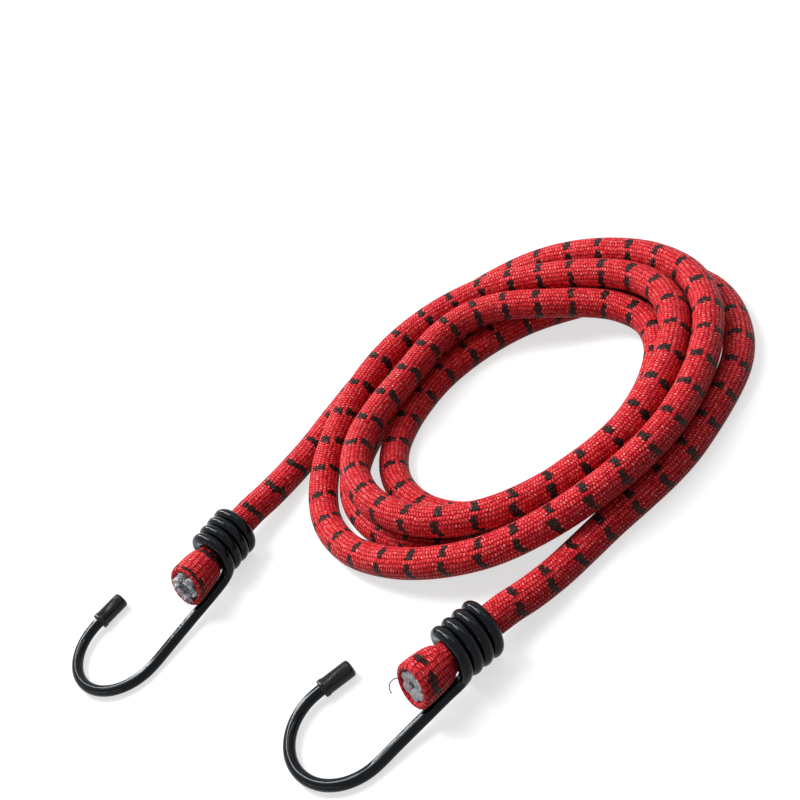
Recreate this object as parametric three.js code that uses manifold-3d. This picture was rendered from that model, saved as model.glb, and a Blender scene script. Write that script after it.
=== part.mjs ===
// Bungee cord: a braided elastic cord laid in a flat coil, with a black wire hook wound on each end.
// Millimetres, +Z up. The cord lies on the plane Z = 0.
import * as THREE from "three";
import { mergeVertices } from "three/addons/utils/BufferGeometryUtils.js";
import Module from "manifold-3d";

const wasm = await Module();
wasm.setup();

// Cord
const cordDiameter = 8;
const coverWall = 1.1;
const coreClearance = 0.3;
const faceGap = 0.3;
const restCutShare = 0.1; // of the cord's diameter, where it lies on the plane
const coverSides = 8;
const coreSides = 6;
const stationsPerSpan = 1.5; // between the centreline's points

// Gripped end of the cord, measured from its cut face
const endLength = 25.8;
const endStraight = 2.5; // the cord goes on in line past the gripped end
const gripDiameter = 7; // squeezed by the winding
const gripStart = 25;
const gripStop = 10.2;
const gripEase = 1.6;
const flareLength = 9.6;
const flareDiameter = 11.2;
const lipRounding = 0.35;
const threadGap = 0.25;
const threadsRound = 6;
const threadSides = 6;
const threadTwist = 0.6; // radians over the gripped end
const threadSwellShare = 0.55; // of the thread's radius, where nothing squeezes it
const threadRecess = 0.4;
const frayLength = 1.4;

// Wire hook
const wireDiameter = 3;
const windingGap = 0.3; // between the wire and the cord
const windingTurns = 3.55;
const windingPitch = 3.44;
const windingSetback = 11.3; // from the cut face to the last turn
const exitDegrees = -30; // round the cord, from level with its axis
const exitRadius = 4.1;
const bendRadius = 13.8;
const bendDegrees = 185;
const tipLength = 9;
const wireSides = 8;

// Soft tip on the hook
const tipCapLength = 9;
const tipCapWall = 0.6;
const tipCapClearance = 0.25;
const tipCapSides = 16;

// Free runs between the coil and the hooks
const runLength = 42;

// The coil's loops. Each row is an eighth of a turn, clockwise from the back, and gives
// the centreline's reach from the coil's centre and its height, both in cord diameters.
const ground = 0.5 - restCutShare;
const loopShares = [
  // outer loop: climbs over the lower loops on the right, down to the table on the left
  [6.45, ground], [5.98, 1.48], [6.84, 1.45], [6.3, 1.44],
  [6.28, 1.42], [7, 0.93], [7.5, ground], [5.87, 1.28],
  // second loop: stays on top until the back
  [5.26, 1.41], [4.86, 1.58], [5.75, 1.5], [5.2, 1.5],
  [5.15, 1.47], [5.92, 1.55], [5.88, 1.42], [4.12, 1.47],
  // third loop: comes down inside the others
  [4.12, 1.48], [3.74, 1.34], [4.97, 0.63], [4.3, ground],
  [4.02, ground], [4.86, ground], [4.82, ground], [3.92, ground],
  // fourth loop: passes outward under the upper ones
  [3.7, ground], [4.47, ground], [6.2, ground], [5.6, ground],
  [5.14, ground], [6.02, ground], [6.34, ground], [5.03, ground],
  // last eighths: out at the front, towards the right hook
  [4.8, ground], [5.66, ground], [7.36, ground], [6.98, ground], [6.8, ground],
];
const eighthsInCoil = 35;
const stepsPerEighth = 3;

// The free runs' centreline, in mm from the coil's centre
const groundHeight = ground * cordDiameter;
const leftRoute = [
  [-71.0, 18.2, 5.2],
  [-62.9, 23.6, 3.9],
  [-54.6, 29.0, 3.3],
  [-44.8, 35.6, groundHeight],
  [-34.4, 42.0, groundHeight],
  [-22.4, 47.6, groundHeight],
  [-11.2, 50.7, groundHeight],
];
const rightRoute = [
  [28.4, -44.1, groundHeight],
  [19.2, -48.2, groundHeight],
  [10.0, -50.9, groundHeight],
  [1.0, -53.2, groundHeight],
  [-8.2, -56.0, groundHeight],
  [-15.6, -58.4, 3.5],
  [-23.6, -60.8, 4.6],
];

// The gripped ends point up and outward, and their hooks lie flat. Each gives the centre of the cut
// face and of the hook's bend, in mm from the coil's centre, with bearings and slopes in degrees.
const leftEnd = { cut: [-100.2, -3.4, 10.2], bearing: 38.7, pitch: 7.9, lean: 15, bend: [-123.7, -1.2], lie: 29.6 };
const rightEnd = { cut: [-57.4, -72.7, 11.1], bearing: 21.3, pitch: 10.4, lean: 12, bend: [-76.7, -65.2], lie: 14 };

// Materials
const coverMaterial = new THREE.MeshStandardMaterial({ color: 0xb3151f, roughness: 0.85, metalness: 0 });
const coreMaterial = new THREE.MeshStandardMaterial({ color: 0x9a9896, roughness: 0.8, metalness: 0 });
const wireMaterial = new THREE.MeshStandardMaterial({ color: 0x0c0d10, roughness: 0.3, metalness: 0.4 });
const tipMaterial = new THREE.MeshStandardMaterial({ color: 0x131418, roughness: 0.35, metalness: 0 });

const up = new THREE.Vector3(0, 0, 1);
const group = new THREE.Group();
group.name = "bungee_cord";

function addMesh(name, geometry, material, parent = group) {
  const mesh = new THREE.Mesh(geometry, material);
  mesh.name = name;
  parent.add(mesh);
  return mesh;
}

// Smooth value between the rows of a table, at a place counted in rows
function tableValue(rows, place, column) {
  const row = Math.min(Math.floor(place), rows.length - 2);
  const t = place - row;
  const value = (i) => rows[Math.min(Math.max(i, 0), rows.length - 1)][column];
  const [a, b, c, d] = [value(row - 1), value(row), value(row + 1), value(row + 2)];
  const linear = (c - a) * t;
  const square = (2 * a - 5 * b + 4 * c - d) * t * t;
  const cube = (3 * b - a - 3 * c + d) * t * t * t;
  return (2 * b + linear + square + cube) / 2;
}

// Centreline of the coil's loops
function coilPoints() {
  const points = [];
  for (let i = 0; i < eighthsInCoil * stepsPerEighth; i++) {
    const eighth = i / stepsPerEighth;
    const angle = Math.PI / 2 - (eighth * Math.PI) / 4;
    const reach = tableValue(loopShares, eighth, 0) * cordDiameter;
    const height = Math.max(tableValue(loopShares, eighth, 1), ground) * cordDiameter;
    points.push(new THREE.Vector3(reach * Math.cos(angle), reach * Math.sin(angle), height));
  }
  return points;
}

// Direction away from the coil, at a bearing and a pitch
function heading(bearing, pitch) {
  const [turn, climb] = [THREE.MathUtils.degToRad(bearing), THREE.MathUtils.degToRad(pitch)];
  const level = Math.cos(climb);
  return new THREE.Vector3(-Math.cos(turn) * level, -Math.sin(turn) * level, Math.sin(climb));
}

// Point on a cord end's axis, at a distance behind its cut face
function endPoint(end, distance) {
  return new THREE.Vector3(...end.cut).addScaledVector(heading(end.bearing, end.pitch), -distance);
}

// The whole cord's centreline, from the left cut face to the right one
const toVector = ([x, y, z]) => new THREE.Vector3(x, y, z);
const centreline = new THREE.CatmullRomCurve3([
  endPoint(leftEnd, 0),
  endPoint(leftEnd, endLength / 2),
  endPoint(leftEnd, endLength + endStraight),
  ...leftRoute.map(toVector),
  ...coilPoints(),
  ...rightRoute.map(toVector),
  endPoint(rightEnd, endLength + endStraight),
  endPoint(rightEnd, endLength / 2),
  endPoint(rightEnd, 0),
]);
centreline.arcLengthDivisions = 4000;
const cordLength = centreline.getLength();

// Upright cross-section frames along the cord, so that separate stretches line up
function stationAt(t) {
  const tangent = centreline.getTangent(t);
  const side = new THREE.Vector3().crossVectors(up, tangent).normalize();
  const lift = new THREE.Vector3().crossVectors(tangent, side);
  return { point: centreline.getPoint(t), side, lift };
}

// Stations between two lengths along the cord, closer together where the loops are tighter
function stationsBetween(start, end) {
  const from = centreline.getUtoTmapping(start / cordLength);
  const to = centreline.getUtoTmapping(end / cordLength);
  const spans = (to - from) * (centreline.points.length - 1);
  const count = Math.round(spans * stationsPerSpan);
  const stations = [];
  for (let i = 0; i <= count; i++) stations.push(stationAt(from + ((to - from) * i) / count));
  return stations;
}

// Closed ring of points round a station
function ring(station, radius, sides, turn = 0) {
  const points = [];
  for (let i = 0; i < sides; i++) {
    const angle = ((i + 0.5) * 2 * Math.PI) / sides + turn;
    points.push(
      station.point
        .clone()
        .addScaledVector(station.side, radius * Math.cos(angle))
        .addScaledVector(station.lift, radius * Math.sin(angle)),
    );
  }
  return points;
}

// Body skinned over a closed chain of rings, the last joined to the first, or capped at both ends
function skin(rings, capped) {
  const sides = rings[0].length;
  const vertices = rings.flat().flatMap((p) => [p.x, p.y, p.z]);
  const faces = [];
  const bands = capped ? rings.length - 1 : rings.length;
  for (let r = 0; r < bands; r++) {
    const next = (r + 1) % rings.length;
    for (let i = 0; i < sides; i++) {
      const j = (i + 1) % sides;
      const [a, b, c, d] = [r * sides + i, r * sides + j, next * sides + j, next * sides + i];
      faces.push(a, b, c, a, c, d);
    }
  }
  if (capped) {
    const last = (rings.length - 1) * sides;
    for (let i = 1; i < sides - 1; i++) {
      faces.push(0, i + 1, i);
      faces.push(last, last + i, last + i + 1);
    }
  }
  const geometry = new THREE.BufferGeometry();
  geometry.setAttribute("position", new THREE.Float32BufferAttribute(vertices, 3));
  geometry.setIndex(faces);
  geometry.computeVertexNormals();
  return geometry;
}

// Hollow tube: its rings go out along the outside and come back along the bore
function hollowTube(stations, outerRadius, boreRadius, sides) {
  const outside = stations.map((s, i) => ring(s, outerRadius(i), sides));
  const bore = stations.map((s, i) => ring(s, boreRadius(i), sides)).reverse();
  return skin([...outside, ...bore], false);
}

function toSolid(geometry) {
  const plain = geometry.clone();
  plain.deleteAttribute("normal");
  plain.deleteAttribute("uv");
  const merged = mergeVertices(plain, 1e-4);
  return new wasm.Manifold(
    new wasm.Mesh({
      numProp: 3,
      vertProperties: merged.attributes.position.array,
      triVerts: new Uint32Array(merged.index.array),
    }),
  );
}

function toGeometry(solid) {
  const mesh = solid.getMesh();
  const geometry = new THREE.BufferGeometry();
  geometry.setAttribute("position", new THREE.Float32BufferAttribute(mesh.vertProperties, 3));
  geometry.setIndex(Array.from(mesh.triVerts));
  geometry.computeVertexNormals();
  return geometry;
}

// Cuts away what lies below the plane that the cord rests on
function cutFlatAtRest(geometry) {
  geometry.computeBoundingBox();
  const box = geometry.boundingBox;
  const size = box.getSize(new THREE.Vector3()).addScalar(cordDiameter);
  const slab = new THREE.BoxGeometry(size.x, size.y, cordDiameter);
  const centre = box.getCenter(new THREE.Vector3());
  slab.translate(centre.x, centre.y, -cordDiameter / 2);
  return toGeometry(toSolid(geometry).subtract(toSolid(slab)));
}

// Braided cover and elastic core, in five stretches
const coverRadius = cordDiameter / 2;
const boreRadius = coverRadius - coverWall;
const coreRadius = boreRadius - coreClearance;

function addStretch(name, start, end) {
  const stations = stationsBetween(start, end);
  const cover = hollowTube(stations, () => coverRadius, () => boreRadius, coverSides);
  addMesh(name + "_cover", cutFlatAtRest(cover), coverMaterial);
  const core = skin(stations.map((s) => ring(s, coreRadius, coreSides)), true);
  addMesh(name + "_core", core, coreMaterial);
}

const leftRunStart = endLength + faceGap;
const coilStart = leftRunStart + runLength + faceGap;
const rightRunEnd = cordLength - endLength - faceGap;
const coilEnd = rightRunEnd - runLength - faceGap;
addStretch("left_run", leftRunStart, leftRunStart + runLength);
addStretch("coil", coilStart, coilEnd);
addStretch("right_run", rightRunEnd - runLength, rightRunEnd);

// A cord end's own frame: X along the cord out of the cut face, Y level to the shank's side
function endFrame(end) {
  const frame = new THREE.Group();
  const out = heading(end.bearing, end.pitch);
  const side = new THREE.Vector3().crossVectors(up, out).normalize();
  const lift = new THREE.Vector3().crossVectors(out, side);
  frame.quaternion.setFromRotationMatrix(new THREE.Matrix4().makeBasis(out, side, lift));
  frame.position.copy(endPoint(end, 0));
  frame.updateMatrix();
  group.add(frame);
  return frame;
}

// How far the cover has opened out towards the cut face
const flareAt = (x) => Math.sin((Math.PI / 2) * THREE.MathUtils.clamp(1 + x / flareLength, 0, 1));
const flareWidening = (flareDiameter - cordDiameter) / 2;

// Section across a cord end, which leans back with the cut face as the cover opens
function endStation(end, x, y = 0, z = 0) {
  const slope = Math.tan(THREE.MathUtils.degToRad(end.lean)) * flareAt(x);
  return {
    point: new THREE.Vector3(x - slope * z, y, z),
    side: new THREE.Vector3(0, 1, 0),
    lift: new THREE.Vector3(-slope, 0, 1),
  };
}

// Cover over the gripped end: squeezed under the winding, opening out to the cut face
function endCover(end) {
  const places = [-endLength, -gripStart, gripEase - gripStart, -gripStop - gripEase, -gripStop];
  const flareSteps = 5;
  for (let i = 0; i < flareSteps; i++) places.push((flareLength * i) / flareSteps - flareLength);
  places.push(-lipRounding, 0);
  const last = places.length - 1;
  const squeeze = coverRadius - gripDiameter / 2;
  const outer = (i) => {
    const squeezed = i === 2 || i === 3 ? squeeze : 0;
    const rounded = i === last ? lipRounding : 0;
    return coverRadius - squeezed - rounded + flareWidening * flareAt(places[i]);
  };
  const bore = (i) => boreRadius + (i === last ? lipRounding : 0) + flareWidening * flareAt(places[i]);
  return hollowTube(places.map((x) => endStation(end, x)), outer, bore, 2 * coverSides);
}

// Rubber threads of the core, one in the middle and the rest lying round it
const threadRadius = (coreRadius - threadGap) / 3;
const threadCircle = 2 * threadRadius + threadGap;

function coreThread(end, index, spread, fray) {
  const rings = [];
  const steps = 6;
  for (let i = 0; i <= steps; i++) {
    const share = i / steps;
    const tip = -threadRecess + fray;
    const x = -endLength + (endLength + tip) * share;
    const radius = threadRadius * (1 + threadSwellShare * flareAt(x));
    const circle = index === 0 ? 0 : threadCircle + 2 * (radius - threadRadius) + spread * flareAt(x);
    const angle = (index * 2 * Math.PI) / threadsRound + threadTwist * share;
    const station = endStation(end, x, circle * Math.cos(angle), circle * Math.sin(angle));
    rings.push(ring(station, radius, threadSides, angle));
  }
  return skin(rings, true);
}

// Hook: one wire, wound round the cord, led off below it and bent round to the tip
const windingRadius = gripDiameter / 2 + windingGap + wireDiameter / 2;
const tipCapRadius = wireDiameter / 2 + tipCapClearance + tipCapWall;

// Centreline of the turns round the cord and of the way out of them, in the end's frame
function windingPoints() {
  const points = [];
  const stepsPerTurn = 14;
  const steps = Math.ceil(windingTurns * stepsPerTurn);
  const exitAngle = THREE.MathUtils.degToRad(exitDegrees);
  for (let i = 0; i <= steps; i++) {
    const turnsLeft = windingTurns * (1 - i / steps);
    const angle = exitAngle + 2 * Math.PI * turnsLeft;
    const x = -windingSetback - windingPitch * turnsLeft;
    points.push(new THREE.Vector3(x, windingRadius * Math.cos(angle), windingRadius * Math.sin(angle)));
  }
  const exit = points.at(-1);
  const exitSteps = 4;
  for (let i = 1; i <= exitSteps; i++) {
    const angle = (Math.PI / 2) * (i / exitSteps);
    const down = exitRadius * Math.sin(angle);
    const x = exit.x + exitRadius * (1 - Math.cos(angle));
    const y = exit.y + down * Math.sin(exitAngle);
    points.push(new THREE.Vector3(x, y, exit.z - down * Math.cos(exitAngle)));
  }
  return points;
}

// Centreline of the whole hook, lying on the table past the shank
function hookLine(end, frame) {
  const points = windingPoints().map((p) => p.applyMatrix4(frame.matrix));
  const out = heading(end.lie, 0);
  const side = new THREE.Vector3().crossVectors(up, out);
  const lying = (along, across, height) => {
    const point = new THREE.Vector3(end.bend[0], end.bend[1], height);
    return point.addScaledVector(out, along).addScaledVector(side, across);
  };
  const [wireHeight, tipHeight] = [wireDiameter / 2, tipCapRadius];
  const shank = points.at(-1).clone();
  const bendStart = lying(0, bendRadius, wireHeight);
  for (const share of [0.35, 0.7]) points.push(shank.clone().lerp(bendStart, share));
  const bendSteps = 14;
  const sweep = THREE.MathUtils.degToRad(bendDegrees);
  for (let i = 0; i <= bendSteps; i++) {
    const share = i / bendSteps;
    const angle = Math.PI / 2 - sweep * share;
    const height = THREE.MathUtils.lerp(wireHeight, tipHeight, share);
    points.push(lying(bendRadius * Math.cos(angle), bendRadius * Math.sin(angle), height));
  }
  const [alongTip, acrossTip] = [-Math.sin(sweep - Math.PI / 2), -Math.cos(sweep - Math.PI / 2)];
  const heel = points.at(-1).clone();
  for (const share of [0.25, 0.5, 0.75, 1]) {
    const reach = tipLength * share;
    points.push(heel.clone().addScaledVector(out, alongTip * reach).addScaledVector(side, acrossTip * reach));
  }
  const line = new THREE.CatmullRomCurve3(points);
  line.arcLengthDivisions = 1000;
  return line;
}

function polygon(radius, sides) {
  const shape = new THREE.Shape();
  for (let i = 0; i < sides; i++) {
    const angle = ((i + 0.5) * 2 * Math.PI) / sides;
    const [x, y] = [radius * Math.cos(angle), radius * Math.sin(angle)];
    if (i === 0) shape.moveTo(x, y);
    else shape.lineTo(x, y);
  }
  shape.closePath();
  return shape;
}

const hookSteps = 102;

function hookWire(line) {
  return new THREE.ExtrudeGeometry(polygon(wireDiameter / 2, wireSides), {
    steps: hookSteps,
    bevelEnabled: false,
    extrudePath: line,
  });
}

// Soft tip: a closed sleeve pushed on the wire's end
function tipCap() {
  const bore = wireDiameter / 2 + tipCapClearance;
  const floor = -tipCapClearance;
  const crown = floor - tipCapWall;
  const mouth = tipCapLength + crown;
  const rounding = tipCapWall + tipCapClearance;
  const outline = [
    [0, crown],
    [tipCapRadius - rounding, crown],
    [tipCapRadius - rounding * 0.3, crown + rounding * 0.3],
    [tipCapRadius, crown + rounding],
    [tipCapRadius, mouth],
    [bore, mouth],
    [bore, floor],
    [0, floor],
  ];
  const profile = outline.map(([r, y]) => new THREE.Vector2(r, y));
  return new THREE.LatheGeometry(profile, tipCapSides);
}

function addEnd(name, end, spread, fray) {
  const frame = endFrame(end);
  addMesh(name + "_end_cover", endCover(end), coverMaterial, frame);
  for (let i = 0; i <= threadsRound; i++) {
    addMesh(name + "_core_thread_" + i, coreThread(end, i, spread, fray(i)), coreMaterial, frame);
  }
  const line = hookLine(end, frame);
  addMesh(name + "_hook_wire", hookWire(line), wireMaterial);
  const cap = addMesh(name + "_hook_tip", tipCap(), tipMaterial);
  cap.position.copy(line.getPointAt(1));
  cap.quaternion.setFromUnitVectors(new THREE.Vector3(0, 1, 0), line.getTangentAt(1).negate());
  return line;
}

// The left end's threads have frayed apart, the right end's stay level
const frays = (i) => (frayLength * ((i * 3) % (threadsRound + 1))) / threadsRound;
const leftHook = addEnd("left", leftEnd, 0.4, frays);
const rightHook = addEnd("right", rightEnd, 0.1, () => 0);

// Least gap between the loops of the coil, on points along its centreline
function leastLoopGap() {
  const spacing = cordDiameter / 8;
  const apart = 3 * cordDiameter;
  const points = [];
  for (let s = 0; s < cordLength; s += spacing) points.push(centreline.getPointAt(s / cordLength));
  const skip = Math.ceil(apart / spacing);
  let least = Infinity;
  let place = 0;
  for (let i = 0; i < points.length; i++) {
    for (let j = i + skip; j < points.length; j++) {
      const distance = points[i].distanceTo(points[j]);
      if (distance < least) [least, place] = [distance, i * spacing];
    }
  }
  return { gap: least - cordDiameter, place };
}

// Least gap between a hook wire's turns
function leastWindingGap(line) {
  const samples = 1200;
  const points = line.getSpacedPoints(samples);
  const skip = Math.ceil((2 * wireDiameter * samples) / line.getLength());
  let least = Infinity;
  for (let i = 0; i < points.length; i++) {
    for (let j = i + skip; j < points.length; j++) least = Math.min(least, points[i].distanceTo(points[j]));
  }
  return least - wireDiameter;
}

const loops = leastLoopGap();
console.log("cord length", cordLength.toFixed(1), "mm");
console.log("least gap between loops", loops.gap.toFixed(2), "mm, at", loops.place.toFixed(0), "mm along");
for (const line of [leftHook, rightHook]) {
  console.log("least gap between a hook wire's turns", leastWindingGap(line).toFixed(2), "mm");
}

// The part's origin is the bottom centre of its box
group.updateMatrixWorld(true);
const middle = new THREE.Box3().setFromObject(group, true).getCenter(new THREE.Vector3());
group.position.set(-middle.x, -middle.y, 0);
console.log("coil centre at", (-middle.x).toFixed(2), (-middle.y).toFixed(2));

export default group;
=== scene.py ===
import math

import bpy
import numpy as np
from mathutils import Matrix, Vector


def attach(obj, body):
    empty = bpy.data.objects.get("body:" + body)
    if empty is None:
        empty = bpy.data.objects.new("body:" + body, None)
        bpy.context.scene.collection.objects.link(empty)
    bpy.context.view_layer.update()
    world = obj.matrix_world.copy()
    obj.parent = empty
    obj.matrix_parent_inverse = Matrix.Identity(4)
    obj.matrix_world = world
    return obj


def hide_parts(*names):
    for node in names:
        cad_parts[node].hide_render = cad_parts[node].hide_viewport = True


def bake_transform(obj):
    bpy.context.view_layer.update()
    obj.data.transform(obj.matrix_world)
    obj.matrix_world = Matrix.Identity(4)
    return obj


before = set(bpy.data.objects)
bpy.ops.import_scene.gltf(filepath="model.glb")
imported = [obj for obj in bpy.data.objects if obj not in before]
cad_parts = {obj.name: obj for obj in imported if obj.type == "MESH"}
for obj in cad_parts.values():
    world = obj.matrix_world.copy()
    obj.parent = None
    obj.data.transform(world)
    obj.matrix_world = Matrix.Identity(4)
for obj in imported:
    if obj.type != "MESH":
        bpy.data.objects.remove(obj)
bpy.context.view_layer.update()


# Cord route
# One unbroken elastic cord, laid by hand: a free run from the left cut face, four and a third
# turns of a loose flat coil that crosses itself, and a free run to the right cut face.
# Lengths are in metres, unless a comment or a name says otherwise.
MM = 0.001
cord_diameter = 8 * MM

# Rows of the coil, an eighth of a turn apart, clockwise from the back: how far from the coil's
# middle and how high the cord's middle lies, in cord diameters
on_floor = 0.4
loops = [
    (6.45, on_floor), (5.98, 1.48), (6.84, 1.45), (6.3, 1.44),
    (6.28, 1.42), (7, 0.93), (7.5, on_floor), (5.87, 1.28),
    (5.26, 1.41), (4.86, 1.58), (5.75, 1.5), (5.2, 1.5),
    (5.15, 1.47), (5.92, 1.55), (5.88, 1.42), (4.12, 1.47),
    (4.12, 1.48), (3.74, 1.34), (4.97, 0.63), (4.3, on_floor),
    (4.02, on_floor), (4.86, on_floor), (4.82, on_floor), (3.92, on_floor),
    (3.7, on_floor), (4.47, on_floor), (6.2, on_floor), (5.6, on_floor),
    (5.14, on_floor), (6.02, on_floor), (6.34, on_floor), (5.03, on_floor),
    (4.8, on_floor), (5.66, on_floor), (7.36, on_floor), (6.98, on_floor), (6.8, on_floor),
]
points_per_row = 3
coil_point_count = 105

# Points of the free runs, in millimetres from the coil's middle
left_route = [
    (-71.0, 18.2, 5.2), (-62.9, 23.6, 3.9), (-54.6, 29.0, 3.3), (-44.8, 35.6, 3.2),
    (-34.4, 42.0, 3.2), (-22.4, 47.6, 3.2), (-11.2, 50.7, 3.2),
]
right_route = [
    (28.4, -44.1, 3.2), (19.2, -48.2, 3.2), (10.0, -50.9, 3.2), (1.0, -53.2, 3.2),
    (-8.2, -56.0, 3.2), (-15.6, -58.4, 3.5), (-23.6, -60.8, 4.6),
]

coil_middle = np.array((38.2, 12.55, 0)) * MM
end_length = 25.8 * MM
end_straight = 2.5 * MM
run_length = 42 * MM
seam = 0.3 * MM
up = np.array((0.0, 0.0, 1.0))


def heading(bearing, pitch):
    """Direction away from the coil, from angles in degrees."""
    turn, climb = math.radians(bearing), math.radians(pitch)
    flatness = math.cos(climb)
    return np.array((-math.cos(turn) * flatness, -math.sin(turn) * flatness, math.sin(climb)))


class End:
    """One gripped end of the cord: its cut face, the way out of it, and where its hook lies."""

    def __init__(self, cut, bearing, pitch, lean, bend, lie):
        self.cut = np.array(cut) * MM + coil_middle
        self.out = heading(bearing, pitch)
        self.side = np.cross(up, self.out)
        self.side /= np.linalg.norm(self.side)
        self.lift = np.cross(self.out, self.side)
        self.slope = math.tan(math.radians(lean))
        self.bend = np.array((*bend, 0)) * MM + coil_middle
        self.lie_out = heading(lie, 0)
        self.lie_side = np.cross(up, self.lie_out)

    def behind(self, distance):
        """Point in the middle of the cord, so far back from the cut face."""
        return self.cut - self.out * distance

    def place(self, points):
        """Points given as (out of the cut face, to the side, up), in metres."""
        p = np.asarray(points, float)
        return self.cut + p[:, :1] * self.out + p[:, 1:2] * self.side + p[:, 2:3] * self.lift

    def lying(self, along, across, height):
        """Point from the middle of the hook's bend, where the hook lies flat."""
        return self.bend + self.lie_out * along + self.lie_side * across + up * height


# Cut and bend in millimetres from the coil's middle, and angles in degrees
left_end = End(cut=(-100.2, -3.4, 10.2), bearing=38.7, pitch=7.9, lean=15,
               bend=(-123.7, -1.2), lie=29.6)
right_end = End(cut=(-57.4, -72.7, 11.1), bearing=21.3, pitch=10.4, lean=12,
                bend=(-76.7, -65.2), lie=14)


def row_value(rows, place, column):
    """Value at a place between the rows, on a smooth curve through the four nearest."""
    row = min(int(place), len(rows) - 2)
    t = place - row
    a, b, c, d = (rows[min(max(i, 0), len(rows) - 1)][column] for i in range(row - 1, row + 3))
    square = 2 * a - 5 * b + 4 * c - d
    cube = 3 * b - a - 3 * c + d
    return (2 * b + (c - a) * t + square * t**2 + cube * t**3) / 2


def coil_points():
    """Points of the cord round the coil, clockwise from the back."""
    points = []
    for i in range(coil_point_count):
        row = i / points_per_row
        angle = math.pi / 2 - row * math.pi / 4
        reach = row_value(loops, row, 0) * cord_diameter
        height = max(row_value(loops, row, 1), on_floor) * cord_diameter
        away = np.array((reach * math.cos(angle), reach * math.sin(angle), height))
        points.append(coil_middle + away)
    return points


def smooth_line(points, steps):
    """Centripetal spline through the points, with so many steps in each span."""
    p = np.asarray(points, float)
    p = np.vstack((2 * p[0] - p[1], p, 2 * p[-1] - p[-2]))
    share = np.linspace(0, 1, steps, endpoint=False)[:, None]
    shortest = 1e-6
    line = []
    for a, b, c, d in zip(p, p[1:], p[2:], p[3:]):
        u, v, w = (max(np.linalg.norm(k - j) ** 0.5, shortest) for j, k in ((a, b), (b, c), (c, d)))
        leave = ((b - a) / u - (c - a) / (u + v) + (c - b) / v) * v
        arrive = ((c - b) / v - (d - b) / (v + w) + (d - c) / w) * v
        square = -3 * b + 3 * c - 2 * leave - arrive
        cube = 2 * b - 2 * c + leave + arrive
        line.append(b + leave * share + square * share**2 + cube * share**3)
    line.append(p[-2:-1])
    return np.vstack(line)


def lengths(line):
    """Length along the line at each of its points."""
    return np.concatenate(((0,), np.cumsum(np.linalg.norm(np.diff(line, axis=0), axis=1))))


def along(line, start, stop, step):
    """Points of the line at even steps between two lengths along it."""
    s = lengths(line)
    at = np.linspace(start, stop, max(2, round((stop - start) / step)) + 1)
    return at, np.stack([np.interp(at, s, line[:, i]) for i in range(3)], axis=1)


cord_line = smooth_line(
    [left_end.behind(0), left_end.behind(end_length / 2), left_end.behind(end_length + end_straight)]
    + [np.array(p) * MM + coil_middle for p in left_route]
    + coil_points()
    + [np.array(p) * MM + coil_middle for p in right_route]
    + [right_end.behind(end_length + end_straight), right_end.behind(end_length / 2),
       right_end.behind(0)],
    steps=16,
)
cord_length = lengths(cord_line)[-1]
coil_start = end_length + run_length + 2 * seam
coil_stop = cord_length - end_length - run_length - 2 * seam


# Braided cover
# Polyester yarn braided over the rubber in narrow lengthwise columns of short crossing stitches.
# Black tracer yarns come up at even steps as a ring of dashes, each a few whole stitches.
# The hooks' windings squeeze it, and at each cut face it opens out and its lip curls in.
cover_radius = 4 * MM
cover_sides = 40
ring_step = 1.0 * MM
flare_length = 9.6 * MM
flare_widening = 1.6 * MM
flare_fullness = 0.36
pressed = 0.25 * MM
grip_sets_in = (10 * MM, 11.6 * MM)
grip_lets_go = (23.6 * MM, 25.2 * MM)
far_from_cut = 1.0
lip = 0.85 * MM
lip_points = 8
lining_rings = 6
lining_step = 1.2 * MM
lining_uv_step = 0.7

# The weave, in millimetres and in shares of a stitch, a column or a ring of dashes
columns = 22
stitch_pitch = 0.78
stitch_slant = 0.34
yarn_relief = 0.25
ring_pitch = 9.32
dashes_round = 5
first_dash = 0.35
dash_share = 0.2
gap_share = 0.16
dash_stagger = 0.08
dash_raggedness = 0.04


class Nodes:
    """Short names for the nodes of one tree."""

    def __init__(self, tree):
        self.tree = tree

    def add(self, kind, **values):
        node = self.tree.nodes.new(kind)
        for key, value in values.items():
            setattr(node, key, value)
        return node

    def put(self, socket, value):
        if isinstance(value, bpy.types.NodeSocket):
            self.tree.links.new(value, socket)
        else:
            socket.default_value = value

    def math(self, operation, a, b=None):
        node = self.add("ShaderNodeMath", operation=operation)
        for i, value in enumerate((a, b)):
            if value is not None:
                self.put(node.inputs[i], value)
        return node.outputs[0]

    def ramp(self, value, low, high, to_low=0.0, to_high=1.0):
        node = self.add("ShaderNodeMapRange", interpolation_type="SMOOTHSTEP")
        for i, v in enumerate((value, low, high, to_low, to_high)):
            self.put(node.inputs[i], v)
        return node.outputs[0]

    def mix(self, share, a, b):
        node = self.add("ShaderNodeMix", data_type="RGBA")
        self.put(node.inputs[0], share)
        self.put(node.inputs[6], a)
        self.put(node.inputs[7], b)
        return node.outputs[2]

    def noise(self, vector, scale, detail=2.0):
        node = self.add("ShaderNodeTexNoise")
        self.put(node.inputs["Vector"], vector)
        node.inputs["Scale"].default_value = scale
        node.inputs["Detail"].default_value = detail
        return node.outputs["Fac"]

    def vector(self, x, y, z):
        node = self.add("ShaderNodeCombineXYZ")
        for i, value in enumerate((x, y, z)):
            self.put(node.inputs[i], value)
        return node.outputs[0]

    def object_place(self):
        return self.add("ShaderNodeTexCoord").outputs["Object"]

    def bump(self, shader, height, strength, distance):
        """Relief on a shader's normal."""
        node = self.add("ShaderNodeBump")
        node.inputs["Strength"].default_value = strength
        node.inputs["Distance"].default_value = distance
        self.put(node.inputs["Height"], height)
        self.put(shader.inputs["Normal"], node.outputs[0])


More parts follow.
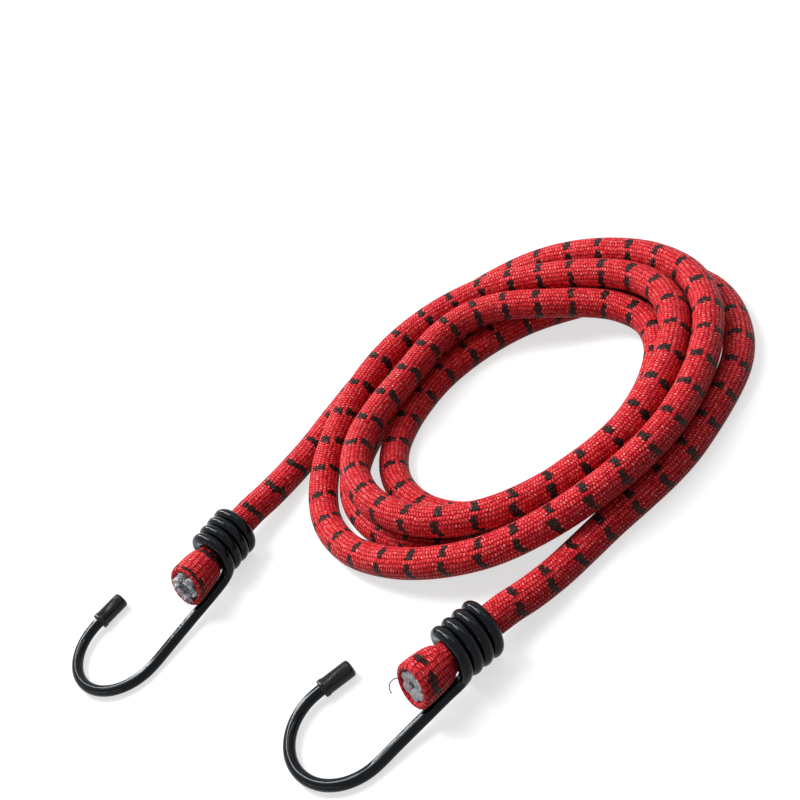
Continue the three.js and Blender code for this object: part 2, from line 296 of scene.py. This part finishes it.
def group(name, inputs, outputs):
    """Nodes of a new node group, with its input and its output node."""
    tree = bpy.data.node_groups.new(name, "ShaderNodeTree")
    for title, kind in inputs:
        tree.interface.new_socket(title, in_out="INPUT", socket_type=kind)
    for title, kind in outputs:
        tree.interface.new_socket(title, in_out="OUTPUT", socket_type=kind)
    n = Nodes(tree)
    return n, n.add("NodeGroupInput"), n.add("NodeGroupOutput")


def surface(name):
    """New material, its nodes and its shader."""
    material = bpy.data.materials.new(name)
    material.use_nodes = True
    n = Nodes(material.node_tree)
    return material, n, material.node_tree.nodes["Principled BSDF"]


def use(n, tree, **values):
    """Node of a node group, fed with the values."""
    node = n.add("ShaderNodeGroup", node_tree=tree)
    for key, value in values.items():
        n.put(node.inputs[key], value)
    return node


weave_nodes, weave_in, weave_out = group(
    "braid_weave",
    [("Along", "NodeSocketFloat"), ("Round", "NodeSocketFloat"), ("Place", "NodeSocketVector")],
    [("Height", "NodeSocketFloat"), ("Stitch", "NodeSocketFloat"), ("Tone", "NodeSocketFloat"),
     ("Tracer", "NodeSocketFloat"), ("Painted Fleck", "NodeSocketFloat"), ("Painted Glint", "NodeSocketFloat")],
)
n = weave_nodes
along_mm, round_share, place = (weave_in.outputs[i] for i in range(3))

# The yarns wander a little, so columns and stitches aren't quite even
wander = n.math("MULTIPLY", n.math("SUBTRACT", n.noise(place, 160, 2), 0.5), 0.9)
jitter = n.math("MULTIPLY", n.math("SUBTRACT", n.noise(place, 900, 1), 0.5), 0.7)
across = n.math("ADD", n.math("MULTIPLY", round_share, columns), n.math("ADD", wander, jitter))
column = n.math("FLOOR", across)
in_column = n.math("FRACT", across)

# Stitches of odd and even columns slant against each other, half a stitch apart
odd = n.math("MODULO", column, 2)
slant = n.math("SUBTRACT", n.math("MULTIPLY", odd, 2), 1)
lean = n.math("MULTIPLY", n.math("MULTIPLY", n.math("SUBTRACT", in_column, 0.5), slant),
              stitch_slant)
step = n.math("ADD", n.math("ADD", n.math("DIVIDE", along_mm, stitch_pitch), lean),
              n.math("ADD", n.math("MULTIPLY", odd, 0.5), wander))
in_stitch = n.math("FRACT", step)
rib = n.math("SINE", n.math("MULTIPLY", in_stitch, math.pi))
bulge = n.math("SINE", n.math("MULTIPLY", in_column, math.pi))
stitch = n.math("MULTIPLY", n.math("POWER", rib, 0.8), n.math("POWER", bulge, 0.6))
grain_place = n.vector(n.math("MULTIPLY", step, 5.0), n.math("MULTIPLY", across, 1.4), column)
yarn_grain = n.noise(grain_place, 3.0, 3)
height = n.math("ADD", stitch, n.math("MULTIPLY", yarn_grain, yarn_relief))
white = n.add("ShaderNodeTexWhiteNoise", noise_dimensions="3D")
n.put(white.inputs["Vector"], n.vector(n.math("FLOOR", step), column, 3.0))
tone = white.outputs["Value"]

# A whole stitch is either red or tracer, by where its middle lies
past_middle = n.math("MULTIPLY", n.math("SUBTRACT", in_stitch, 0.5), stitch_pitch)
stitch_middle = n.math("SUBTRACT", along_mm, past_middle)
column_middle = n.math("DIVIDE", n.math("ADD", column, 0.5), columns)
dash = n.math("ADD", n.math("MULTIPLY", column_middle, dashes_round), first_dash)
in_dash = n.math("FRACT", dash)
stagger = n.math("MULTIPLY", n.math("MODULO", n.math("FLOOR", dash), 2), dash_stagger)
in_ring = n.math("FRACT", n.math("ADD", n.math("DIVIDE", stitch_middle, ring_pitch),
                                 n.math("ADD", stagger, n.math("MULTIPLY", tone, dash_raggedness))))
tracer = n.math("MULTIPLY", n.math("LESS_THAN", in_ring, dash_share),
                n.math("GREATER_THAN", in_dash, gap_share))

# Painted highlights: pale flecks on the tracers, and single stitches that turn pale as if lit
painted_fleck = n.ramp(n.noise(place, 2600, 3), 0.6, 0.74)
painted_glint = n.math("MULTIPLY", n.ramp(n.noise(place, 1500, 2), 0.56, 0.7), n.ramp(stitch, 0.55, 0.9))
for i, value in enumerate((height, stitch, tone, tracer, painted_fleck, painted_glint)):
    n.put(weave_out.inputs[i], value)

cover_material, n, shader = surface("braided_cover")
uv = n.add("ShaderNodeUVMap", uv_map="along_round")
split = n.add("ShaderNodeSeparateXYZ")
n.put(split.inputs[0], uv.outputs[0])
weave = use(n, weave_nodes.tree, Along=split.outputs[0], Round=split.outputs[1],
            Place=n.object_place())
# Painted shade and highlight: the red darkens into the crevices between stitches and turns lighter
# and pinker on their tops
painted_crevice_shade = n.mix(weave.outputs["Tone"], (0.18, 0.0005, 0.002, 1), (0.31, 0.001, 0.005, 1))
bright = n.mix(weave.outputs["Tone"], (0.68, 0.007, 0.020, 1), (0.94, 0.060, 0.072, 1))
red = n.mix(n.ramp(weave.outputs["Stitch"], 0.05, 0.7), painted_crevice_shade, bright)
# Painted highlight: single raised stitches turn pale pink
red = n.mix(weave.outputs["Painted Glint"], red, (1.0, 0.46, 0.42, 1))
# Painted highlight: pale grey flecks on the black tracer yarn
black = n.mix(weave.outputs["Painted Fleck"], (0.003, 0.001, 0.001, 1), (0.26, 0.21, 0.21, 1))
n.put(shader.inputs["Base Color"], n.mix(weave.outputs["Tracer"], red, black))
n.put(shader.inputs["Roughness"], n.ramp(weave.outputs["Stitch"], 0.2, 0.9, 0.8, 0.32))
shader.inputs["Specular IOR Level"].default_value = 0.24
shader.inputs["Specular Tint"].default_value = (1.0, 0.42, 0.38, 1)
shader.inputs["Sheen Weight"].default_value = 0.06
shader.inputs["Sheen Roughness"].default_value = 0.4
shader.inputs["Sheen Tint"].default_value = (1.0, 0.40, 0.36, 1)
n.bump(shader, weave.outputs["Height"], strength=0.65, distance=0.34 * MM)


def smooth(x, low, high):
    """Eased step from 0 to 1 between two values."""
    t = np.clip((x - low) / (high - low), 0, 1)
    return t * t * (3 - 2 * t)


def cross_frames(points, upright):
    """Side and lift directions at each point of a line, upright or carried on untwisted."""
    tangent = np.gradient(points, axis=0)
    tangent /= np.linalg.norm(tangent, axis=1)[:, None]
    if upright:
        side = np.cross((0, 0, 1), tangent)
        side /= np.linalg.norm(side, axis=1)[:, None]
        return side, np.cross(tangent, side)
    side = np.empty_like(tangent)
    side[0] = np.cross(tangent[0], (0.3, 0.2, 1))
    for i in range(len(tangent)):
        if i:
            side[i] = side[i - 1]
        side[i] -= tangent[i] * side[i].dot(tangent[i])
        side[i] /= np.linalg.norm(side[i])
    return side, np.cross(tangent, side)


def ring_faces(count, sides, first=0, closed_ends=False):
    """Faces between rings of points, and over the first and last ring where the ends are closed."""
    faces = []
    for r in range(count - 1):
        here, ahead = first + r * sides, first + (r + 1) * sides
        for i in range(sides):
            j = (i + 1) % sides
            faces.append((here + i, here + j, ahead + j, ahead + i))
    if closed_ends:
        last = first + (count - 1) * sides
        faces.append(tuple(range(first, first + sides))[::-1])
        faces.append(tuple(range(last, last + sides)))
    return faces


def skin(name, rings, uv_along, material, closed_ends=False):
    """Mesh over rings of points, shape (rings, sides, 3), with a UV along and round them."""
    count, sides = rings.shape[:2]
    uv = []
    for here, ahead in zip(uv_along, uv_along[1:]):
        for i in range(sides):
            a, b = i / sides, (i + 1) / sides
            uv += [(here, a), (here, b), (ahead, b), (ahead, a)]
    if closed_ends:
        uv += [(uv_along[0], i / sides) for i in range(sides)][::-1]
        uv += [(uv_along[-1], i / sides) for i in range(sides)]
    mesh = bpy.data.meshes.new(name)
    faces = ring_faces(count, sides, closed_ends=closed_ends)
    mesh.from_pydata(rings.reshape(-1, 3).tolist(), [], faces)
    layer = mesh.uv_layers.new(name="along_round")
    layer.data.foreach_set("uv", np.asarray(uv, np.float32).ravel())
    mesh.shade_smooth()
    mesh.update()
    mesh.materials.append(material)
    piece = bpy.data.objects.new(name, mesh)
    bpy.context.scene.collection.objects.link(piece)
    return piece


def tube_rings(points, radius, sides, upright=True):
    """Rings of points round a line, shape (points, sides, 3)."""
    side, lift = cross_frames(points, upright)
    angle = np.arange(sides) * 2 * math.pi / sides
    r = np.broadcast_to(np.asarray(radius, float).reshape(-1, 1), (len(points), 1))[:, :, None]
    around = side[:, None] * np.cos(angle)[None, :, None]
    around = around + lift[:, None] * np.sin(angle)[None, :, None]
    return points[:, None] + around * r


def flare_at(distance):
    """How far the cover has opened out, from none to 1 at the cut face."""
    return np.sin(math.pi / 2 * np.clip(1 - distance / flare_length, 0, 1))


def cover_shape(distance):
    """Radius of the cover so far from the cut face: squeezed by the winding, open at the cut."""
    grip = smooth(distance, *grip_sets_in) * (1 - smooth(distance, *grip_lets_go))
    return cover_radius + flare_widening * flare_at(distance) ** flare_fullness - pressed * grip


def lean_back(rings, centres, distance, end):
    """Tilts the sections near a cut face back, as its face is."""
    height = (rings - centres[:, None]) @ end.lift
    return rings - (end.slope * flare_at(distance)[:, None] * height)[:, :, None] * end.out


def sleeve(name, start, stop, end=None):
    """Stretch of the cover. At a cut end its lip curls in and lines the opening."""
    at, points = along(cord_line, start, stop, ring_step)
    distance = {None: np.full(len(at), far_from_cut), left_end: at, right_end: cord_length - at}[end]
    rings = tube_rings(points, cover_shape(distance), cover_sides)
    uv_along = at / MM
    if end:
        rings = lean_back(rings, points, distance, end)
        if end is right_end:
            rings, uv_along = rings[::-1], uv_along[::-1]
            points, distance = points[::-1], distance[::-1]
        opening = cover_shape(0.0)
        profile = [(lip * math.sin(a), lip * (1 - math.cos(a)))
                   for a in np.linspace(0, math.pi, lip_points)[1:]]
        profile += [(-lining_step * k, 2 * lip) for k in range(1, lining_rings + 1)]
        inner = []
        for out, inward in profile:
            radius = cover_shape(max(-out, 0.0)) - inward
            ring = points[0] + (rings[0] - points[0]) * (radius / opening)
            inner.append(ring + end.out * (out - lip))
        keep = distance > lip * 0.9
        way_in = 1 if end is left_end else -1
        inner_uv = uv_along[0] - np.arange(1, len(inner) + 1) * lining_uv_step * way_in
        rings = np.concatenate((np.array(inner[::-1]), rings[keep]))
        uv_along = np.concatenate((inner_uv[::-1], uv_along[keep]))
        if end is left_end:
            rings = rings[:, ::-1]
    rings[:, :, 2] = np.maximum(rings[:, :, 2], 0)
    piece = skin(name, rings, uv_along, material=cover_material)
    return piece, points


left_cover, left_path = sleeve("left_cover", 0, coil_start, left_end)
coil_cover, coil_path = sleeve("coil_cover_braid", coil_start, coil_stop)
right_cover, right_path = sleeve("right_cover", coil_stop, cord_length, right_end)
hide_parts("left_end_cover", "left_run_cover")
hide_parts("coil_cover")
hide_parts("right_end_cover", "right_run_cover")
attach(coil_cover, "coil")


def stretches(piece):
    """Bakes a piece of the free run's placement into its mesh."""
    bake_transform(piece)


stretches(left_cover)
stretches(right_cover)


# Rubber core
# A bundle of round natural rubber threads fills the cover, which squeezes it to a lobed section.
# There is one bundle for each stretch of the cord between the hooks.
bundle_radius = 2.45 * MM
bundle_sides = 24
bundle_lobes = 6
lobe_depth = 0.05
bundle_step = 3 * MM

core_material, n, shader = surface("natural_rubber")
place = n.object_place()
grain = n.noise(place, 1500, 4)
patch = n.noise(place, 400, 2)
powdery = n.math("ADD", n.math("MULTIPLY", grain, 0.7), n.math("MULTIPLY", patch, 0.3))
n.put(shader.inputs["Base Color"],
      n.mix(n.ramp(powdery, 0.35, 0.65), (0.17, 0.17, 0.19, 1), (0.52, 0.52, 0.54, 1)))
shader.inputs["Roughness"].default_value = 0.6
n.bump(shader, grain, strength=0.35, distance=0.2 * MM)

for name, start, stop, side in (
    ("left_run", end_length + seam, end_length + run_length + seam, "left"),
    ("coil", coil_start, coil_stop, None),
    ("right_run", cord_length - end_length - run_length - seam,
     cord_length - end_length - seam, "right"),
):
    at, points = along(cord_line, start, stop, bundle_step)
    rings = tube_rings(points, bundle_radius, bundle_sides)
    angle = np.arange(bundle_sides) * 2 * math.pi / bundle_sides
    lobes = 1 + lobe_depth * np.cos(bundle_lobes * angle)
    rings = points[:, None] + (rings - points[:, None]) * lobes[None, :, None]
    piece = skin(name + "_core_bundle", rings, at / MM, closed_ends=True, material=core_material)
    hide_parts(name + "_core")
    if side:
        stretches(piece)
    else:
        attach(piece, "coil")


# Core threads at the cut ends
# Seven rubber threads, one in the middle and six round it, swell out of each hook's grip and press
# on each other in the cut face. The left ones are torn to uneven lengths, and the right ones are
# trimmed level, with the middle one drawn back.
thread_count = 7
thread_radius = 0.783 * MM
thread_circle = 1.817 * MM
thread_rings = 26
thread_sides = 18
thread_recess = 0.4 * MM
thread_twist = 0.6
thread_squeeze = 0.05
free_swell = 0.5


def thread_piece(side, end, index, spread, swell, fray, dome):
    """Thread that spreads and swells to the cut face, stands out by fray and ends in a dome."""
    share = np.linspace(0, 1, thread_rings)
    x = -end_length + (end_length - thread_recess + fray) * share
    flare = flare_at(-x)
    radius = thread_radius * (1 + free_swell * flare)
    circle = (thread_circle + spread * flare) * (index > 0)
    angle = index * math.pi / 3 + thread_twist * share
    radius = radius * (1 + swell * flare)
    slope = end.slope * flare
    y, z = circle * np.cos(angle), circle * np.sin(angle)
    rings = []
    turn = np.arange(thread_sides) * 2 * math.pi / thread_sides
    squeeze = 1 + thread_squeeze * np.cos(6 * turn + 2 * index)
    for i in range(thread_rings):
        side_way, lift_way = radius[i] * squeeze * np.cos(turn), radius[i] * squeeze * np.sin(turn)
        high = z[i] + lift_way
        section = np.stack((x[i] - slope[i] * high, y[i] + side_way, high), axis=1)
        rings.append(end.place(section))
    rim = rings[-1]
    middle = rim.mean(axis=0)
    for rise_share, share_in in ((0.6, 0.88), (1, 0.6)):
        rings.append(middle + (rim - middle) * share_in + end.out * dome * rise_share)
    uv_along = np.concatenate((x / MM, (x[-1] / MM + 0.3, x[-1] / MM + 0.6)))
    piece = skin(f"{side}_rubber_thread_{index}", np.array(rings), uv_along, closed_ends=True,
                 material=core_material)
    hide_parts(f"{side}_core_thread_{index}")
    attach(piece, side + "_end")
    return piece, middle


left_threads = [
    thread_piece("left", left_end, i, spread=0.85 * MM, swell=0.12,
                 fray=1.0 * MM * (i * 3 % thread_count) / (thread_count - 1), dome=0.3 * MM)
    for i in range(thread_count)
]
right_threads = [
    thread_piece("right", right_end, i, spread=0.7 * MM, swell=0.24,
                 fray=-1.4 * MM * (i == 0), dome=0.06 * MM)
    for i in range(thread_count)
]


# Torn fibres of the left cut face
# Where the left threads are torn, fine broken fibres stand out of each one. They taper, lie combed
# over to one side, and are some pale and some dark.
fibres_per_thread = 38
fibre_spread = 1.22 * MM
fibre_radius = 0.15 * MM
fibre_root = 0.1 * MM
fibre_points = 5
fibre_sides = 5
fibre_taper = 0.8
fibre_bow = 0.25

fibre_material, n, shader = surface("broken_fibre")
grain = n.noise(n.object_place(), 900, 2)
n.put(shader.inputs["Base Color"],
      n.mix(n.ramp(grain, 0.43, 0.56), (0.07, 0.07, 0.09, 1), (0.92, 0.92, 0.97, 1)))
shader.inputs["Roughness"].default_value = 0.55


def fibre(base, way, length):
    """Thin tapered strand that bends a little on its way."""
    share = np.linspace(0, 1, fibre_points)[:, None]
    line = base + way * length * share
    bow = np.cross(way, up) * fibre_bow * length
    radius = fibre_radius * (1 - fibre_taper * share[:, 0])
    return tube_rings(line + bow * share**2, radius, fibre_sides, upright=False)


def bundle(name, strands, material, body):
    """One mesh of many thin strands."""
    vertices = np.concatenate([strand.reshape(-1, 3) for strand in strands])
    faces = []
    for number, strand in enumerate(strands):
        count, sides = strand.shape[:2]
        faces += ring_faces(count, sides, number * count * sides, closed_ends=True)
    mesh = bpy.data.meshes.new(name)
    mesh.from_pydata(vertices.tolist(), [], faces)
    mesh.shade_smooth()
    piece = bpy.data.objects.new(name, mesh)
    bpy.context.scene.collection.objects.link(piece)
    mesh.materials.append(material)
    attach(piece, body)
    return piece


rng = np.random.default_rng(5)
strands = []
for _, middle in left_threads:
    for _ in range(fibres_per_thread):
        radius = fibre_spread * math.sqrt(rng.random())
        angle = rng.random() * 2 * math.pi
        across, high = radius * math.cos(angle), radius * math.sin(angle)
        spot = left_end.side * across + left_end.lift * high - left_end.out * left_end.slope * high
        comb = rng.normal(0.2, 1.0)
        way = left_end.out * (0.3 + 0.3 * rng.random())
        way += left_end.side * (0.73 * comb + rng.normal(0, 0.15))
        way += left_end.lift * (-0.69 * comb + rng.normal(0, 0.15))
        way /= np.linalg.norm(way)
        root = middle + spot - left_end.out * fibre_root
        strands.append(fibre(root, way, (0.7 + 0.8 * rng.random()) * MM))
torn_fibres = bundle("left_frayed_fibres", strands, fibre_material, "left_end")


# Loose yarn of the right cut face
# One black polyester tracer yarn has slipped out of the cut braid. It curls away beside the right
# cut face, in points that lie so many millimetres out of the face, to its side and up.
yarn_radius = 0.13 * MM
yarn_sides = 6
yarn_curl = [(-0.6, -5.0, -0.6), (0.6, -5.6, -0.4), (1.8, -5.9, -0.9),
             (2.5, -5.6, -1.9), (2.7, -5.0, -2.8)]

yarn_material, n, shader = surface("loose_yarn")
n.put(shader.inputs["Base Color"], n.mix(n.noise(n.object_place(), 900, 2), (0.01, 0.01, 0.012, 1),
                                         (0.10, 0.09, 0.09, 1)))
shader.inputs["Roughness"].default_value = 0.7
curl = smooth_line(right_end.place(np.array(yarn_curl) * MM), steps=8)
yarn_rings = tube_rings(curl, yarn_radius, yarn_sides, upright=False)
loose_yarn = bundle("right_loose_yarn", [yarn_rings], yarn_material, "right_end")


# Hook wires
# Each is one steel wire with a smooth black coating, wound tight on the cord's end,
# led off below it and bent round into a J that lies flat.
wire_radius = 1.5 * MM
wound_radius = 1.64 * MM
winding_radius = 5.5 * MM
winding_pitch = 3.16 * MM
tip_radius = 2.35 * MM
winding_setback = 11.3 * MM
winding_turns = 3.55
steps_per_turn = 14
thinning_length = 6 * MM
exit_angle = math.radians(-30)
exit_radius = 4.1 * MM
exit_steps = 4
bend_radius = 13.8 * MM
bend_sweep = math.radians(185)
bend_steps = 14
tip_length = 9 * MM
wire_sides = 20
wire_step = 0.6 * MM
wire_end_rounding = 0.3 * MM


def hook_line(end):
    """Wire's centreline, and the length along it at which it leaves the winding."""
    points = []
    steps = math.ceil(winding_turns * steps_per_turn)
    for i in range(steps + 1):
        left = winding_turns * (1 - i / steps)
        angle = exit_angle + 2 * math.pi * left
        points.append((-winding_setback - winding_pitch * left, winding_radius * math.cos(angle),
                       winding_radius * math.sin(angle)))
    x, y, z = points[-1]
    for i in range(1, exit_steps + 1):
        angle = math.pi / 2 * i / exit_steps
        down = exit_radius * math.sin(angle)
        points.append((x + exit_radius * (1 - math.cos(angle)), y + down * math.sin(exit_angle),
                       z - down * math.cos(exit_angle)))
    wound = len(points)
    points = list(end.place(points))
    shank = points[-1]
    bend_start = end.lying(0, bend_radius, wire_radius)
    points += [shank + (bend_start - shank) * share for share in (0.35, 0.7)]
    # The wire rises round its bend, so that the wider cap on its end rests on the floor too
    for i in range(bend_steps + 1):
        angle = math.pi / 2 - bend_sweep * i / bend_steps
        height = wire_radius + (tip_radius - wire_radius) * i / bend_steps
        points.append(end.lying(bend_radius * math.cos(angle), bend_radius * math.sin(angle), height))
    past = bend_sweep - math.pi / 2
    leg = -end.lie_out * math.sin(past) - end.lie_side * math.cos(past)
    heel = points[-1]
    points += [heel + leg * tip_length * share for share in (0.25, 0.5, 0.75, 1)]
    steps_per_span = 6
    line = smooth_line(points, steps_per_span)
    return line, lengths(line)[(wound - 1) * steps_per_span]


coating_material, n, shader = surface("black_coating")
place = n.object_place()
dull = n.noise(place, 260, 3)
n.put(shader.inputs["Base Color"], n.mix(dull, (0.002, 0.0024, 0.0035, 1), (0.005, 0.006, 0.009, 1)))
n.put(shader.inputs["Roughness"], n.ramp(dull, 0.35, 0.7, 0.06, 0.14))
shader.inputs["Specular IOR Level"].default_value = 0.14
shader.inputs["Specular Tint"].default_value = (0.86, 0.95, 1.0, 1)
n.bump(shader, n.noise(place, 420, 2), strength=0.2, distance=0.3 * MM)

wires = {}
for side, end in (("left", left_end), ("right", right_end)):
    line, wound = hook_line(end)
    at, spaced = along(line, 0, lengths(line)[-1], wire_step)
    in_winding = 1 - smooth(at, wound - thinning_length, wound)
    radius = wire_radius + (wound_radius - wire_radius) * in_winding
    radius[0] -= wire_end_rounding
    rings = tube_rings(spaced, radius, wire_sides, upright=False)
    uv_along = np.arange(len(rings)) * wire_step / MM
    wire = skin(side + "_hook", rings, uv_along, closed_ends=True, material=coating_material)
    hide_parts(side + "_hook_wire")
    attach(wire, side + "_end")
    wires[side] = (wire, spaced)


# Caps on the hooks' tips
# A soft vinyl cap is pushed over the end of each wire, so that its cut edge can't scratch.
# It has a raised rim at its mouth and a domed end.
cap_sides = 24
# Along the wire from its end, and the cap's radius there, in millimetres
cap_profile = [(-8.15, 1.78), (-8.15, 2.1), (-8.0, 2.3), (-7.7, 2.35), (-6.9, 2.35), (-6.7, 2.2),
               (-0.1, 2.2), (0.3, 2.12), (0.6, 1.85), (0.78, 1.4), (0.85, 0.7), (0.85, 0.05)]

tip_material, n, shader = surface("soft_vinyl")
place = n.object_place()
scuff = n.noise(place, 500, 3)
n.put(shader.inputs["Base Color"], n.mix(scuff, (0.003, 0.003, 0.004, 1), (0.010, 0.010, 0.012, 1)))
n.put(shader.inputs["Roughness"], n.ramp(scuff, 0.3, 0.7, 0.14, 0.28))
shader.inputs["Specular IOR Level"].default_value = 0.22

for side, (_, spaced) in wires.items():
    tip_end = spaced[-1]
    axis = spaced[-1] - spaced[-4]
    axis /= np.linalg.norm(axis)
    straight = np.stack([tip_end + axis * k * MM for k in range(len(cap_profile))])
    rounds = tube_rings(straight, 1 * MM, cap_sides) - straight[:, None]
    rings = np.array([tip_end + axis * out * MM + ring * radius
                      for (out, radius), ring in zip(cap_profile, rounds)])
    uv_along = np.arange(len(cap_profile)) * 1.0
    cap = skin(side + "_tip_cap", rings, uv_along, closed_ends=True, material=tip_material)
    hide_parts(side + "_hook_tip")
    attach(cap, side + "_end")


# Camera
# Looks down on the coil from the side that the hooks' shanks face, rolled by about 31 degrees.
# Its lens and sensor are in millimetres.
elevation = math.radians(38.245)
roll = math.radians(-30.685)
level = Vector((1, 0, 0))
rise = Vector((0, math.sin(elevation), math.cos(elevation)))
forward = Vector((0, math.cos(elevation), -math.sin(elevation)))
right = math.cos(roll) * level + math.sin(roll) * rise
above = -math.sin(roll) * level + math.cos(roll) * rise
camera_data = bpy.data.cameras.new("camera")
camera_data.sensor_width = 36
camera_data.lens = 60.75
camera_data.clip_start = 0.01
camera = bpy.data.objects.new("camera", camera_data)
eye = Vector((11.0, -258.65, 238.4)) * MM
turned = Matrix((right, above, -forward)).transposed().to_4x4()
camera.matrix_world = Matrix.Translation(eye) @ turned
bpy.context.scene.collection.objects.link(camera)
bpy.context.scene.camera = camera


# Floor and light
# A plain white studio floor, one soft lamp above the coil and three long strip lamps.
# The floor shows white to the camera and in the hooks' gloss, also far from the lamps,
# and throws back little light.
floor_half = 9
floor_drop = 0.1 * MM
corners = [(x * floor_half, y * floor_half, 0) for x, y in ((-1, -1), (1, -1), (1, 1), (-1, 1))]
floor_mesh = bpy.data.meshes.new("floor")
floor_mesh.from_pydata(corners, [], [(0, 1, 2, 3)])
floor = bpy.data.objects.new("floor", floor_mesh)
floor.location.z = -floor_drop
bpy.context.scene.collection.objects.link(floor)


def seen(n):
    """1 where the camera looks, directly or in a gloss, and 0 for the light that falls on things."""
    path = n.add("ShaderNodeLightPath")
    look = n.math("MAXIMUM", path.outputs["Is Camera Ray"], path.outputs["Is Glossy Ray"])
    return n.math("MAXIMUM", look, path.outputs["Is Transmission Ray"])


floor_material, n, shader = surface("studio_floor")
look = seen(n)
n.put(shader.inputs["Base Color"], n.mix(look, (0.12, 0.12, 0.12, 1), (0.42, 0.42, 0.42, 1)))
shader.inputs["Roughness"].default_value = 0.9
shader.inputs["Specular IOR Level"].default_value = 0.1
shader.inputs["Emission Color"].default_value = (1, 1, 1, 1)
reach = n.add("ShaderNodeVectorMath", operation="LENGTH")
n.put(reach.inputs[0], n.object_place())
glow = n.ramp(reach.outputs["Value"], 0.3, 1.6, 0.66, 1.0)
n.put(shader.inputs["Emission Strength"], n.math("MULTIPLY", look, glow))
floor_mesh.materials.append(floor_material)


def area_light(name, place, power, width, height):
    """Lamp that faces the frame's origin, with its power in watts."""
    data = bpy.data.lights.new(name, "AREA")
    data.energy = power
    data.shape = "RECTANGLE"
    data.size = width
    data.size_y = height
    lamp = bpy.data.objects.new(name, data)
    lamp.location = place
    lamp.rotation_euler = (-Vector(place)).to_track_quat("-Z", "Y").to_euler()
    bpy.context.scene.collection.objects.link(lamp)


area_light("key", (-0.3, 0.55, 1.25), power=12, width=0.5, height=0.8)
area_light("back_strip", (-0.4, 1.0, 0.95), power=17, width=0.12, height=1.5)
area_light("top_strip", (0.5, 0.36, 1.3), power=5, width=1.2, height=0.07)
area_light("left_strip", (-1.0, -0.42, 0.38), power=2.2, width=1.2, height=0.03)

world = bpy.data.worlds.new("studio")
world.use_nodes = True
bpy.context.scene.world = world
n = Nodes(world.node_tree)
background = world.node_tree.nodes["Background"]
background.inputs["Color"].default_value = (1, 1, 1, 1)
n.put(background.inputs["Strength"], n.ramp(seen(n), 0.0, 1.0, 0.12, 1.0))
bpy.context.scene.view_settings.view_transform = "Standard"
